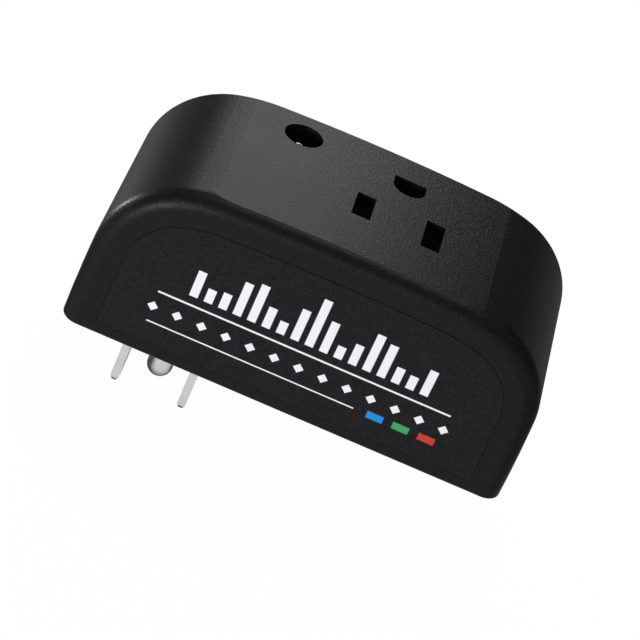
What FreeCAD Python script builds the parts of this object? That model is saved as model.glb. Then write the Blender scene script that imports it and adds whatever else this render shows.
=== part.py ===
import FreeCAD, Part
import math
import os

# A plug-in ground loop isolator: an arched housing with a mains plug under its left half
# and an outlet on its crown. Millimetres.
# Frame: the outlet faces +Z and the prongs point to -Z. The base that lies against the wall plate is
# at z = 0, its centre is the origin, +X runs along the housing and the labelled face is at -Y.

# Housing
WIDTH = 80.5
DEPTH = 39.0
HEIGHT = 33.65
SIDE_R = 303.0
SHOULDER_R = 17.1
RUNOUT_R = 35.0
SHOULDER_END = 74.65
CROWN_SLOPE = 2.62
CROWN_CUT = 0.25
DRAFT = 0.5
WALL = 2.4
FRONT_FILLET = 3.0
BACK_FILLET = 1.8
INNER_FILLET = 0.6
RIM_FILLET = 0.5
RIM_WALL = 1.2

# Base plate
PLATE_T = 2.5
PLATE_GAP = 0.12
LIP_WALL = 1.2
LIP_HEIGHT = 3.0

# Screw posts in the housing's corners
POST_R = 2.9
POST_FROM_SIDE = 5.0
POST_FROM_FACE = 5.0
BASE_SCREW_LENGTH = 11.0

# Label film and its seat in the front face
LABEL_INSET = 6.0
LABEL_BOTTOM = 2.3
LABEL_FILM = 0.25
LABEL_SEAT = 0.2
LABEL_GAP = 0.1

# Outlet: the slots' line runs along X, and the ground hole lies behind it
OUTLET_FROM_PLUG = 27.6
BLADE_PITCH = 12.7
GROUND_OFFSET = 11.9
SLOT_WIDTH = 3.4
LINE_SLOT = 7.3
NEUTRAL_SLOT = 8.5
GROUND_HOLE_R = 2.95
GROUND_FLAT = 2.1

# Indicator
LED_FROM_PLUG = 7.5
LED_FROM_WALL = 5.4
LED_HOLE_R = 3.5
LED_SLEEVE_WALL = 1.1
LED_SLEEVE_LENGTH = 5.0
LED_R = 2.5
LED_FLANGE_R = 2.9
LED_FLANGE_T = 1.0
LED_LENGTH = 8.6
LED_RECESS = 1.95
LED_LEAD_PITCH = 2.54
LED_LEAD_R = 0.3

# Plug
PLUG_FROM_END = 18.45
PLUG_SHIFT = 0.45
BLADE_WIDTH = 6.35
BLADE_T = 1.5
BLADE_LENGTH = 15.9
BLADE_TIP = 1.0
BLADE_TAPER = 1.0
BLADE_EDGE = 0.35
BLADE_HOLE_R = 1.6
BLADE_HOLE_DROP = 11.9
SHOULDER_WIDTH = 7.5
SHOULDER_HEIGHT = 2.0
TAB_WIDTH = 5.0
TAIL_WIDTH = 2.0
PIN_R = 2.39
PIN_LENGTH = 21.15
PIN_ROOT_R = 2.7
PIN_COLLAR_R = 4.0
PIN_NECK_R = 1.9
PIN_NECK_HEIGHT = 3.5
PIN_TAIL_R = 1.0
PRONG_GAP = 0.1

# Retainer that clamps the prongs' shoulders to the base plate
RETAINER_T = 2.0
RETAINER_LENGTH = 19.4
RETAINER_FRONT = 3.8
RETAINER_BACK = 14.8
RETAINER_CORNER = 2.0
RETAINER_BOSS_R = 2.3
RETAINER_SCREW_SIDE = 7.0
RETAINER_SCREW_BACK = 12.5
RETAINER_SCREW_LENGTH = 5.4
TAB_GAP = 0.15

# Screws
SCREW_R = 1.2
SCREW_HEAD_R = 2.1
SCREW_HEAD_T = 1.3
SCREW_SINK = 0.1
SCREW_POINT = 0.8
RECESS_ARM = 2.4
RECESS_WIDTH = 0.6
RECESS_DEPTH = 0.8
PAN_TOP_R = 1.25
PAN_EDGE_HEIGHT = 0.6
PASS_GAP = 0.1
THREAD_GAP = 0.02
PILOT_SPARE = 0.5

# Contact carrier and its cover
CARRIER_SIDE = 11.8
CARRIER_WALL = 1.4
CARRIER_CLEAR = 2.4
CARRIER_CORNER = 2.0
COVER_BOTTOM = 11.4
COVER_T = 2.0
CARRIER_WEB = 1.8
CAVITY_WIDTH = 4.6
CAVITY_LENGTH = 9.6
GROUND_CAVITY_R = 3.9
GROUND_LEDGE = 8.7
SLOT_GAP = 0.1
CORE_WIDTH = 4.6
CORE_LENGTH = 8.4
CORE_DEPTH = 14.0
CORE_CORNER = 1.0
FENCE_HEIGHT = 1.2
FENCE_WALL = 1.0
FENCE_GAP = 0.12
COVER_SCREW_FRONT = 3.1
COVER_SCREW_BACK = 4.7
COVER_SCREW_LENGTH = 8.0
PILLAR_R = 1.7
PILLAR_INSET = 2.2
PILLAR_SHIFT = 5.0

# Spring contacts
CONTACT_SHEET = 0.5
CONTACT_WIDTH = 7.0
CONTACT_FOOT = 3.8
CONTACT_PINCH = 1.2
CONTACT_PINCH_DROP = 3.4
CONTACT_KNEE = 3.0
CONTACT_HEAD_GAP = 0.4
CONTACT_BEND = 0.6
CONTACT_TAIL_WIDTH = 4.0
SLEEVE_R = 2.3
SLEEVE_WALL = 0.6
SLEEVE_SLIT = 1.4
SLEEVE_FLARE = 0.7
SLEEVE_TAIL_WIDTH = 3.0
SLEEVE_HEAD_GAP = 0.2
SLEEVE_TAIL_INSET = 0.05

# Straps from the blades to the contacts
STRAP_T = 0.8
STRAP_WIDTH = 4.0
STRAP_BOTTOM = 7.0
STRAP_BEND = 1.2
STRAP_START = 2.0
STRAP_POST_GAP = 0.3
STRAP_FROM_GROUND = 3.9
RIVET_R = 0.9
RIVET_HEAD_R = 1.6
RIVET_TOP_R = 1.0
RIVET_HEAD_T = 0.6
RIVET_GAP = 0.02

# Circuit board
BOARD_Z = 12.0
BOARD_T = 1.6
BOARD_LEFT = 8.9
BOARD_RIGHT = 10.4
BOARD_GAP = 0.8
BOARD_CORNER = 1.5
BOARD_POST_R = 1.9
BOARD_HOLE_FROM_END = 2.0
BOARD_HOLE_FROM_SIDE = 1.7
BOARD_SCREW_LENGTH = 6.0
LEAD_BELOW = 0.8
LEAD_GAP = 0.1
TAIL_GAP = 0.15
TAIL_ABOVE = 1.2
PEG_R = 1.2
PEG_FROM_EDGE = 1.3

# Board components, placed along X from the middle of the plug's blades
STAND_OFF = 0.8
BODY_LIFT = 0.2
PART_GAP = 0.25
TAIL_SPARE = 0.5
SMALL_LEAD_R = 0.35
BRIDGE_T = 3.5
BRIDGE_LENGTH = 14.7
BRIDGE_HEIGHT = 10.2
BRIDGE_LEADS = 4
BRIDGE_LEAD_R = 0.45
BRIDGE_PITCH = 3.86
BRIDGE_BEVEL = 2.0
CAPACITOR_T = 4.8
CAPACITOR_LENGTH = 13.0
CAPACITOR_HEIGHT = 11.0
CAPACITOR_PITCH = 10.0
CAPACITOR_EDGE = 0.6
VARISTOR_R = 3.5
VARISTOR_T = 3.5
VARISTOR_EDGE = 1.0
VARISTOR_FROM_PLUG = -0.4
VARISTOR_FROM_EDGE = 3.1
VARISTOR_PITCH = 5.0
BLEED_R = 2.0
BLEED_LENGTH = 9.4
BLEED_FROM_PLUG = 1.9
BLEED_FROM_EDGE = 2.3
BLEED_PITCH = 11.2
RESISTOR_R = 1.2
RESISTOR_LENGTH = 5.2
RESISTOR_FROM_PLUG = 8.2
RESISTOR_PITCH = 6.8
DIODE_R = 1.0
DIODE_LENGTH = 4.0
DIODE_FROM_PLUG = 8.6
DIODE_PITCH = 5.6
LEAD_SPACE = 0.4
END_CAP_SHARE = 0.2
END_CAP_SLOPE_SHARE = 0.08
WAIST_SHARE = 0.82

# Ground lead from the board to the ground contact
LEAD_R = 1.1
LEAD_FROM_PLUG = 4.0
LEAD_FROM_TAIL = 0.4
LEAD_DROP = 3.4
LEAD_BEND = 2.5

HALF = WIDTH / 2
PLUG_X = PLUG_FROM_END - HALF
PLUG_Y = PLUG_SHIFT - GROUND_OFFSET / 2
CARRIER_FRONT = CAVITY_LENGTH / 2 + CARRIER_WALL
CARRIER_BACK = GROUND_OFFSET + GROUND_CAVITY_R + CARRIER_WALL
OUTLET_X = PLUG_X + OUTLET_FROM_PLUG
OUTLET_Y = DEPTH / 2 - WALL - CARRIER_CLEAR - CARRIER_BACK
CEILING = HEIGHT - WALL
CARRIER_BOTTOM = COVER_BOTTOM + COVER_T
BOARD_TOP = BOARD_Z + BOARD_T
RETAINER_Z = PLATE_T + SHOULDER_HEIGHT
TAIL_TOP = BOARD_TOP + TAIL_ABOVE
LINE_X = OUTLET_X - BLADE_PITCH / 2
NEUTRAL_X = OUTLET_X + BLADE_PITCH / 2
GROUND_Y = OUTLET_Y + GROUND_OFFSET
LINE_BLADE_X = PLUG_X - BLADE_PITCH / 2
NEUTRAL_BLADE_X = PLUG_X + BLADE_PITCH / 2
PIN_Y = PLUG_Y + GROUND_OFFSET
LED_X = PLUG_X + LED_FROM_PLUG
LED_Y = DEPTH / 2 - WALL - LED_FROM_WALL
STRAP_Z = STRAP_BOTTOM + STRAP_WIDTH / 2
CONTACT_FACE = (CONTACT_FOOT + CONTACT_SHEET) / 2
SLEEVE_FACE = SLEEVE_R + SLEEVE_WALL - SLEEVE_TAIL_INSET
MARGIN = 1.0
TOLERANCE = 0.001
POST_X = HALF - POST_FROM_SIDE
POST_Y = DEPTH / 2 - POST_FROM_FACE
CORNER_POSTS = [(-POST_X, -POST_Y), (-POST_X, POST_Y), (POST_X, -POST_Y), (POST_X, POST_Y)]
RETAINER_SCREWS = [
    (PLUG_X, PLUG_Y),
    (PLUG_X - RETAINER_SCREW_SIDE, PLUG_Y + RETAINER_SCREW_BACK),
    (PLUG_X + RETAINER_SCREW_SIDE, PLUG_Y + RETAINER_SCREW_BACK),
]
COVER_SCREWS = [(OUTLET_X, OUTLET_Y - COVER_SCREW_FRONT), (OUTLET_X, OUTLET_Y + COVER_SCREW_BACK)]
BOARD_SIDE = DEPTH / 2 - WALL - BOARD_GAP
BOARD_HOLE_X = PLUG_X - BOARD_LEFT + BOARD_HOLE_FROM_END
BOARD_HOLE_Y = BOARD_SIDE - BOARD_HOLE_FROM_SIDE
BOARD_HOLES = [(BOARD_HOLE_X, -BOARD_HOLE_Y), (BOARD_HOLE_X, BOARD_HOLE_Y)]
BOARD_PEG = (PLUG_X + BOARD_RIGHT - PEG_FROM_EDGE, PEG_FROM_EDGE - BOARD_SIDE)
LINE_RUN_Y = BOARD_POST_R + STRAP_POST_GAP + STRAP_T / 2 - BOARD_HOLE_Y
NEUTRAL_RUN_Y = GROUND_Y - STRAP_FROM_GROUND
BLEED_AT = (PLUG_X + BLEED_FROM_PLUG, BLEED_FROM_EDGE - BOARD_SIDE)
BLEED_BACK = BLEED_AT[1] + BLEED_R
CAPACITOR_X = NEUTRAL_BLADE_X - (BLADE_T + CAPACITOR_T) / 2 - TAIL_SPARE
CAPACITOR_AT = (CAPACITOR_X, BLEED_BACK + PART_GAP + CAPACITOR_LENGTH / 2)
VARISTOR_AT = (PLUG_X + VARISTOR_FROM_PLUG, BOARD_SIDE - VARISTOR_FROM_EDGE)
VARISTOR_FRONT = VARISTOR_AT[1] - VARISTOR_T / 2
BRIDGE_AT = (PLUG_X - PIN_TAIL_R - TAIL_SPARE - BRIDGE_T / 2, (BLEED_BACK + VARISTOR_FRONT) / 2)
DIODE_AT = (PLUG_X + DIODE_FROM_PLUG, BLEED_AT[1] + 2 * SMALL_LEAD_R + LEAD_SPACE + DIODE_PITCH / 2)
RESISTOR_AT = (PLUG_X + RESISTOR_FROM_PLUG, LED_Y - LED_FLANGE_R - PART_GAP - LEAD_SPACE - RESISTOR_PITCH / 2)
LED_LEADS = [(LED_X - LED_LEAD_PITCH / 2, LED_Y), (LED_X + LED_LEAD_PITCH / 2, LED_Y)]


def vec(x, y, z):
    return FreeCAD.Vector(x, y, z)


def lean(z):
    """How far the front and back faces have drawn in at the height z."""
    return z * math.tan(math.radians(DRAFT))


def box(x0, x1, y0, y1, z0, z1):
    return Part.makeBox(x1 - x0, y1 - y0, z1 - z0, vec(x0, y0, z0))


def post(x, y, z0, z1, radius):
    return Part.makeCylinder(radius, z1 - z0, vec(x, y, z0))


def rounded_block(x0, x1, y0, y1, z0, z1, radius):
    """Upright block with its four vertical edges rounded."""
    block = box(x0, x1, y0, y1, z0, z1)
    upright = [e for e in block.Edges if abs(e.Vertexes[0].Z - e.Vertexes[1].Z) > MARGIN / 2]
    return block.makeFillet(radius, upright)


def join(first, *others):
    return first.fuse([o for o in others]).removeSplitter()


def cut(shape, *tools):
    return shape.cut([t for t in tools])


def turned(points, x, y):
    """Solid of revolution about the upright axis at x, y, from a closed list of radius and height pairs."""
    wire = Part.makePolygon([vec(r, 0, z) for r, z in points + points[:1]])
    solid = Part.Face(wire).revolve(vec(0, 0, 0), vec(0, 0, 1), 360)
    solid.translate(vec(x, y, 0))
    return solid


def path_wire(points, bend):
    """Straight runs through the points, joined by tangent arcs of radius bend."""
    points = [vec(*p) for p in points]
    edges = []
    start = points[0]
    for before, corner, after in zip(points, points[1:], points[2:]):
        into = (corner - before).normalize()
        out = (after - corner).normalize()
        turn = into.getAngle(out)
        reach = bend * math.tan(turn / 2)
        first = corner - into * reach
        last = corner + out * reach
        inward = (out - into).normalize()
        middle = corner + inward * (bend / math.cos(turn / 2) - bend)
        edges.append(Part.makeLine(start, first))
        edges.append(Part.Arc(first, middle, last).toShape())
        start = last
    edges.append(Part.makeLine(start, points[-1]))
    return Part.Wire(edges)


def round_bar(points, bend, radius):
    """Wire or lead of round section along a path."""
    path = path_wire(points, bend)
    heading = vec(*points[1]) - vec(*points[0])
    ring = Part.Wire(Part.makeCircle(radius, vec(*points[0]), heading))
    return path.makePipeShell([ring], True, False)


def flat_bar(points, bend, thickness, width, across):
    """Strip of sheet along a flat path: its width runs along the direction across."""
    path = path_wire(points, bend)
    start = vec(*points[0])
    along = (vec(*points[1]) - start).normalize()
    wide = vec(*across) * (width / 2)
    thick = along.cross(vec(*across)) * (thickness / 2)
    corners = [start + wide + thick, start - wide + thick, start - wide - thick, start + wide - thick]
    section = Part.makePolygon(corners + corners[:1])
    return path.makePipeShell([section], True, False)


def arch_turns():
    """Angles at which the uncut arch's arcs meet, and the radius that ends its top arc in the middle."""
    shoulder_end = math.radians(SHOULDER_END)
    runout_end = math.radians(90 - CROWN_SLOPE)
    tilt = math.radians(CROWN_SLOPE / 2)
    reach = HALF - SIDE_R + SHOULDER_R * math.cos(shoulder_end)
    reach -= RUNOUT_R * (math.cos(shoulder_end) - math.cos(runout_end))
    rise = HEIGHT + CROWN_CUT - SHOULDER_R * math.sin(shoulder_end)
    rise -= RUNOUT_R * (math.sin(runout_end) - math.sin(shoulder_end)) + reach * math.tan(tilt)
    side_end = math.asin(rise * math.cos(tilt) / (SIDE_R - SHOULDER_R)) - tilt
    crown_r = (reach + (SIDE_R - SHOULDER_R) * math.cos(side_end)) / math.cos(runout_end)
    return [0.0, side_end, shoulder_end, runout_end, math.pi / 2], crown_r


def arch_arcs(inset):
    """Arcs of the right half of the uncut arch, from the base to its top, as three points each."""
    turns, crown_r = arch_turns()
    x, z = HALF - inset, 0.0
    arcs = []
    for radius, start, end in zip((SIDE_R, SHOULDER_R, RUNOUT_R, crown_r), turns, turns[1:]):
        radius -= inset
        cx = x - radius * math.cos(start)
        cz = z - radius * math.sin(start)
        along = (start, (start + end) / 2, end)
        arc = [(cx + radius * math.cos(a), cz + radius * math.sin(a)) for a in along]
        arcs.append(arc)
        x, z = arc[-1]
    return arcs


def arch_face(inset, floor):
    """Face in the XZ plane under the arch moved inwards by inset, down to the height floor."""
    arcs = arch_arcs(inset)
    edges = [Part.Arc(*[vec(x, 0, z) for x, z in arc]).toShape() for arc in arcs]
    edges += [Part.Arc(*[vec(-x, 0, z) for x, z in reversed(arc)]).toShape() for arc in reversed(arcs)]
    x0 = arcs[0][0][0]
    if floor < 0:
        edges.insert(0, Part.makeLine(vec(x0, 0, floor), vec(x0, 0, 0)))
        edges.append(Part.makeLine(vec(-x0, 0, 0), vec(-x0, 0, floor)))
    edges.append(Part.makeLine(vec(-x0, 0, floor), vec(x0, 0, floor)))
    return Part.Face(Part.Wire(edges))


def drafted_slab(inset, floor):
    """Wedge between the leaning front and back faces, each moved inwards by inset."""
    top = HEIGHT + MARGIN
    low = DEPTH / 2 - inset - lean(floor)
    high = DEPTH / 2 - inset - lean(top)
    corners = [vec(-WIDTH, y, z) for y, z in ((-low, floor), (low, floor), (high, top), (-high, top))]
    return Part.Face(Part.makePolygon(corners + corners[:1])).extrude(vec(2 * WIDTH, 0, 0))


def crown_form(inset):
    """Everything under the crown, which lies a little below the uncut arch's top, moved inwards by inset."""
    crown_r = arch_turns()[1] - CROWN_CUT
    radius = crown_r - inset
    side = HEIGHT - crown_r + math.sqrt(radius ** 2 - WIDTH ** 2)
    right, left = [[vec(x, -DEPTH, z) for z in (side, -HEIGHT)] for x in (WIDTH, -WIDTH)]
    corners = right + left[::-1]
    arc = Part.Arc(corners[3], vec(0, -DEPTH, HEIGHT - inset), corners[0]).toShape()
    return Part.Face(Part.Wire([arc] + Part.makePolygon(corners).Edges)).extrude(vec(0, 2 * DEPTH, 0))


def face_edges(block, side, inset, floor):
    """Edges round the front (side -1) or back (side 1) face of an arch block, without its bottom edge."""
    found = []
    for edge in block.Edges:
        ends = [v.Point for v in edge.Vertexes]
        on_face = all(abs(side * p.y - (DEPTH / 2 - inset - lean(p.z))) < TOLERANCE for p in ends)
        if on_face and not all(abs(p.z - floor) < TOLERANCE for p in ends):
            found.append(edge)
    return found


def arch_block(inset, floor, front_fillet, back_fillet):
    """The housing's outer form moved inwards by inset: its edges are rounded before the crown cuts its top."""
    arch = arch_face(inset, floor)
    arch.translate(vec(0, -DEPTH / 2 - MARGIN, 0))
    block = arch.extrude(vec(0, DEPTH + 2 * MARGIN, 0)).common(drafted_slab(inset, floor))
    block = block.makeFillet(front_fillet, face_edges(block, -1, inset, floor))
    block = block.makeFillet(back_fillet, face_edges(block, 1, inset, floor))
    return block.common(crown_form(inset))


def below(shape, z):
    return shape.common(box(-WIDTH, WIDTH, -DEPTH, DEPTH, -HEIGHT, z))


def above(shape, z):
    return shape.common(box(-WIDTH, WIDTH, -DEPTH, DEPTH, z, 2 * HEIGHT))


def cavity_form():
    """The form of the housing's inside, open downwards."""
    return arch_block(WALL, -MARGIN, max(FRONT_FILLET - WALL, INNER_FILLET), INNER_FILLET)


def label_prism(inset):
    """Everything in front of the housing's middle that lies behind the label's outline."""
    prism = arch_face(inset, 0)
    prism.translate(vec(0, -DEPTH, 0))
    return prism.extrude(vec(0, DEPTH, 0))


def slot_cutter(x, length, gap, z0, z1):
    half_w = SLOT_WIDTH / 2 + gap
    half_l = length / 2 + gap
    return box(x - half_w, x + half_w, OUTLET_Y - half_l, OUTLET_Y + half_l, z0, z1)


def ground_cutter(gap, z0, z1):
    """Ground hole: half round towards the slots, straight at the sides and flat at the back."""
    half = GROUND_HOLE_R + gap
    back = GROUND_Y + GROUND_FLAT + gap
    left, right = [vec(OUTLET_X + x, GROUND_Y, z0) for x in (-half, half)]
    arc = Part.Arc(left, vec(OUTLET_X, GROUND_Y - half, z0), right).toShape()
    sides = Part.makePolygon([right, vec(OUTLET_X + half, back, z0), vec(OUTLET_X - half, back, z0), left])
    return Part.Face(Part.Wire([arc] + sides.Edges)).extrude(vec(0, 0, z1 - z0))


def outlet_cutters(gap, z0, z1):
    return [
        slot_cutter(LINE_X, LINE_SLOT, gap, z0, z1),
        slot_cutter(NEUTRAL_X, NEUTRAL_SLOT, gap, z0, z1),
        ground_cutter(gap, z0, z1),
    ]


def carrier_plan(gap, z0, z1):
    """Block of the contact carrier's plan, wider by gap on every side."""
    return rounded_block(
        OUTLET_X - CARRIER_SIDE - gap, OUTLET_X + CARRIER_SIDE + gap,
        OUTLET_Y - CARRIER_FRONT - gap, OUTLET_Y + CARRIER_BACK + gap, z0, z1, CARRIER_CORNER + gap)


def housing_shell():
    """Cap moulded in one piece: arch, front and back, with posts, sleeve and fence inside."""
    shell = arch_block(0, 0, FRONT_FILLET, BACK_FILLET)
    rim = [e for e in shell.Edges if all(abs(v.Z) < TOLERANCE for v in e.Vertexes)]
    shell = shell.makeFillet(RIM_FILLET, rim)
    seat = arch_block(RIM_WALL, -MARGIN, FRONT_FILLET - RIM_WALL, max(BACK_FILLET - RIM_WALL, INNER_FILLET))
    shell = shell.cut([cavity_form(), below(seat, PLATE_T)])
    inside = arch_face(WALL / 2, 0)
    inside.translate(vec(0, -DEPTH / 2, 0))
    inside = inside.extrude(vec(0, DEPTH, 0)).common(drafted_slab(WALL / 2, 0))
    posts = [post(x, y, PLATE_T, HEIGHT, POST_R).common(inside) for x, y in CORNER_POSTS]
    sleeve = post(LED_X, LED_Y, CEILING - LED_SLEEVE_LENGTH, HEIGHT - WALL / 2, LED_HOLE_R + LED_SLEEVE_WALL)
    fence = carrier_plan(FENCE_GAP + FENCE_WALL, CEILING - FENCE_HEIGHT, HEIGHT - WALL / 2)
    fence = fence.cut(carrier_plan(FENCE_GAP, 0, CEILING)).common(inside)
    shell = shell.fuse(posts + [sleeve, fence]).removeSplitter()
    pilots = [post(x, y, 0, BASE_SCREW_LENGTH + PILOT_SPARE, SCREW_R + THREAD_GAP) for x, y in CORNER_POSTS]
    led_hole = post(LED_X, LED_Y, CEILING - LED_SLEEVE_LENGTH - MARGIN, HEIGHT + MARGIN, LED_HOLE_R)
    label = above(label_prism(LABEL_INSET - LABEL_GAP), LABEL_BOTTOM - LABEL_GAP)
    label = label.cut(drafted_slab(LABEL_SEAT, -MARGIN))
    openings = outlet_cutters(0, CEILING - MARGIN, HEIGHT + MARGIN)
    return cut(shell, led_hole, label, *pilots, *openings)


def front_label():
    """Film in the front face's shallow seat, concentric with the arch, with a straight lower edge."""
    film = above(label_prism(LABEL_INSET), LABEL_BOTTOM)
    film = film.common(drafted_slab(LABEL_SEAT - LABEL_FILM, -MARGIN))
    return film.cut(drafted_slab(LABEL_SEAT, -MARGIN))


def countersink(x, y, face, side, length):
    """Cutter for a countersunk screw whose head lies at the height face and opens towards side."""
    wide = SCREW_HEAD_R + PASS_GAP
    narrow = SCREW_R + PASS_GAP
    drop = SCREW_SINK + SCREW_HEAD_T
    cone = [(0, 0), (wide, 0), (wide, -SCREW_SINK), (narrow, -drop), (narrow, -length), (0, -length)]
    return turned([(r, face + side * z) for r, z in cone], x, y)


def cross_recess(x, y, face, side):
    """Cross-shaped driver recess in a screw's head."""
    z0, z1 = sorted((face, face - side * RECESS_DEPTH))
    arm, half = RECESS_ARM / 2, RECESS_WIDTH / 2
    one = box(x - arm, x + arm, y - half, y + half, z0, z1)
    return one.fuse(box(x - half, x + half, y - arm, y + arm, z0, z1))


def flat_screw(x, y, face, side, length):
    """Countersunk self-tapping screw; side is 1 where its head faces up and -1 where it faces down."""
    top = -SCREW_SINK
    points = [
        (0, top), (SCREW_HEAD_R, top), (SCREW_R, top - SCREW_HEAD_T),
        (SCREW_R, SCREW_POINT - length), (SCREW_R / 2, -length), (0, -length),
    ]
    screw = turned([(r, face + side * z) for r, z in points], x, y)
    return screw.cut(cross_recess(x, y, face + side * top, side))


def pan_screw(x, y, face, length):
    """Screw with a domed head that stands on the height face."""
    head = SCREW_HEAD_T
    points = [
        (0, head), (PAN_TOP_R, head), (SCREW_HEAD_R, PAN_EDGE_HEIGHT), (SCREW_HEAD_R, 0), (SCREW_R, 0),
        (SCREW_R, SCREW_POINT - length), (SCREW_R / 2, -length), (0, -length),
    ]
    screw = turned([(r, face + z) for r, z in points], x, y)
    return screw.cut(cross_recess(x, y, face + head, 1))


def prong_cutters(width, pin_radius, gap, z0, z1):
    """Cutters that clear both blades, of the given width there, and the ground pin by gap."""
    half_t = BLADE_T / 2 + gap
    half_w = width / 2 + gap
    line, neutral = [
        box(x - half_t, x + half_t, PLUG_Y - half_w, PLUG_Y + half_w, z0, z1)
        for x in (LINE_BLADE_X, NEUTRAL_BLADE_X)
    ]
    return [line, neutral, post(PLUG_X, PIN_Y, z0, z1, pin_radius + gap)]


def pillar_places():
    """Feet of the pillars that hold the contact carrier up against the crown."""
    side = CARRIER_SIDE - PILLAR_INSET
    front = OUTLET_Y - CARRIER_FRONT + PILLAR_INSET
    back = OUTLET_Y + CARRIER_BACK - PILLAR_INSET
    left = OUTLET_X - side
    right = OUTLET_X + side
    return [(left + PILLAR_SHIFT, front), (right, front), (left, back), (right, back)]


def base_plate():
    """Plate that closes the housing's mouth, with a locating lip, bosses and posts on its inner side."""
    edge = RIM_WALL + PLATE_GAP
    plate = arch_block(edge, 0, FRONT_FILLET - edge, max(BACK_FILLET - edge, INNER_FILLET / 2))
    plate = below(plate, PLATE_T)
    outer = WALL + PLATE_GAP
    lip = below(arch_block(outer, 0, INNER_FILLET, INNER_FILLET), PLATE_T + LIP_HEIGHT)
    lip = lip.cut(below(arch_block(outer + LIP_WALL, -MARGIN, INNER_FILLET, INNER_FILLET), HEIGHT))
    lip = above(lip, PLATE_T / 2)
    lip = lip.cut([post(x, y, PLATE_T, HEIGHT, POST_R + PLATE_GAP) for x, y in CORNER_POSTS])
    bosses = [post(x, y, PLATE_T / 2, RETAINER_Z, RETAINER_BOSS_R) for x, y in RETAINER_SCREWS]
    posts = [post(x, y, PLATE_T / 2, BOARD_Z, BOARD_POST_R) for x, y in BOARD_HOLES]
    peg = post(*BOARD_PEG, PLATE_T / 2, BOARD_Z, PEG_R)
    pillars = [post(x, y, PLATE_T / 2, COVER_BOTTOM, PILLAR_R) for x, y in pillar_places()]
    plate = plate.fuse([lip, peg] + bosses + posts + pillars).removeSplitter()
    thread = SCREW_R + THREAD_GAP
    retainer_end = RETAINER_Z + RETAINER_T - RETAINER_SCREW_LENGTH - PILOT_SPARE
    board_end = BOARD_TOP - BOARD_SCREW_LENGTH - PILOT_SPARE
    tools = prong_cutters(BLADE_WIDTH, PIN_ROOT_R, PRONG_GAP, -MARGIN, PLATE_T + MARGIN)
    tools += [post(x, y, retainer_end, RETAINER_Z + MARGIN, thread) for x, y in RETAINER_SCREWS]
    tools += [post(x, y, board_end, BOARD_Z + MARGIN, thread) for x, y in BOARD_HOLES]
    tools += [countersink(x, y, 0, -1, PLATE_T + MARGIN) for x, y in CORNER_POSTS]
    return cut(plate, *tools)


def base_screws():
    return Part.makeCompound([flat_screw(x, y, 0, -1, BASE_SCREW_LENGTH) for x, y in CORNER_POSTS])


def cross_hole(x, y, z, radius):
    """Cutter for a hole along X through a sheet whose middle lies at x."""
    return Part.makeCylinder(radius, 2 * BLADE_T, vec(x - BLADE_T, y, z), vec(1, 0, 0))


def blade(x):
    """Stamped blade: tapered tip, shoulder under the retainer, tab for the strap, tail through the board."""
    half, shoulder = BLADE_WIDTH / 2, SHOULDER_WIDTH / 2
    tab, tail = TAB_WIDTH / 2, TAIL_WIDTH / 2
    tab_top = STRAP_BOTTOM + STRAP_WIDTH
    right = [
        (half - BLADE_TIP, -BLADE_LENGTH), (half, BLADE_TAPER - BLADE_LENGTH), (half, PLATE_T),
        (shoulder, PLATE_T), (shoulder, RETAINER_Z), (tab, RETAINER_Z), (tab, tab_top), (tail, tab_top),
        (tail, TAIL_TOP),
    ]
    outline = right + [(-y, z) for y, z in reversed(right)]
    corners = [vec(x - BLADE_T / 2, PLUG_Y + y, z) for y, z in outline]
    sheet = Part.Face(Part.makePolygon(corners + corners[:1])).extrude(vec(BLADE_T, 0, 0))
    tip = [
        e for e in sheet.Edges
        if all(v.Z < BLADE_TAPER - BLADE_LENGTH + TOLERANCE for v in e.Vertexes)
        and abs(e.Vertexes[0].X - e.Vertexes[1].X) < TOLERANCE
    ]
    sheet = sheet.makeChamfer(BLADE_EDGE, tip)
    hole = cross_hole(x, PLUG_Y, -BLADE_HOLE_DROP, BLADE_HOLE_R)
    return cut(sheet, hole, cross_hole(x, PLUG_Y, STRAP_Z, RIVET_R + RIVET_GAP))


def ground_pin():
    """Turned pin with a round tip, a thicker root in the plate, a collar under the retainer and a tail."""
    neck_top = RETAINER_Z + PIN_NECK_HEIGHT
    upper = [
        (PIN_R, 0), (PIN_ROOT_R, 0), (PIN_ROOT_R, PLATE_T), (PIN_COLLAR_R, PLATE_T),
        (PIN_COLLAR_R, RETAINER_Z), (PIN_NECK_R, RETAINER_Z), (PIN_NECK_R, neck_top),
        (PIN_TAIL_R, neck_top + PIN_NECK_R - PIN_TAIL_R), (PIN_TAIL_R, TAIL_TOP), (0, TAIL_TOP),
    ]
    shoulder = PIN_R - PIN_LENGTH
    bend = math.sqrt(0.5)
    middle = vec(PIN_R * bend, 0, shoulder - PIN_R * bend)
    dome = Part.Arc(vec(0, 0, -PIN_LENGTH), middle, vec(PIN_R, 0, shoulder))
    points = [vec(PIN_R, 0, shoulder)] + [vec(r, 0, z) for r, z in upper] + [vec(0, 0, -PIN_LENGTH)]
    lines = [Part.makeLine(a, b) for a, b in zip(points, points[1:])]
    face = Part.Face(Part.Wire([dome.toShape()] + lines))
    pin = face.revolve(vec(0, 0, 0), vec(0, 0, 1), 360)
    pin.translate(vec(PLUG_X, PIN_Y, 0))
    return pin


def prong_retainer():
    """Moulded clamp over the blades' shoulders and the pin's collar."""
    half = RETAINER_LENGTH / 2
    top = RETAINER_Z + RETAINER_T
    body = rounded_block(
        PLUG_X - half, PLUG_X + half, PLUG_Y - RETAINER_FRONT, PLUG_Y + RETAINER_BACK,
        RETAINER_Z, top, RETAINER_CORNER)
    tools = prong_cutters(TAB_WIDTH, PIN_NECK_R, TAB_GAP, 0, HEIGHT)
    tools += [countersink(x, y, top, 1, RETAINER_T + MARGIN) for x, y in RETAINER_SCREWS]
    return cut(body, *tools)


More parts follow.
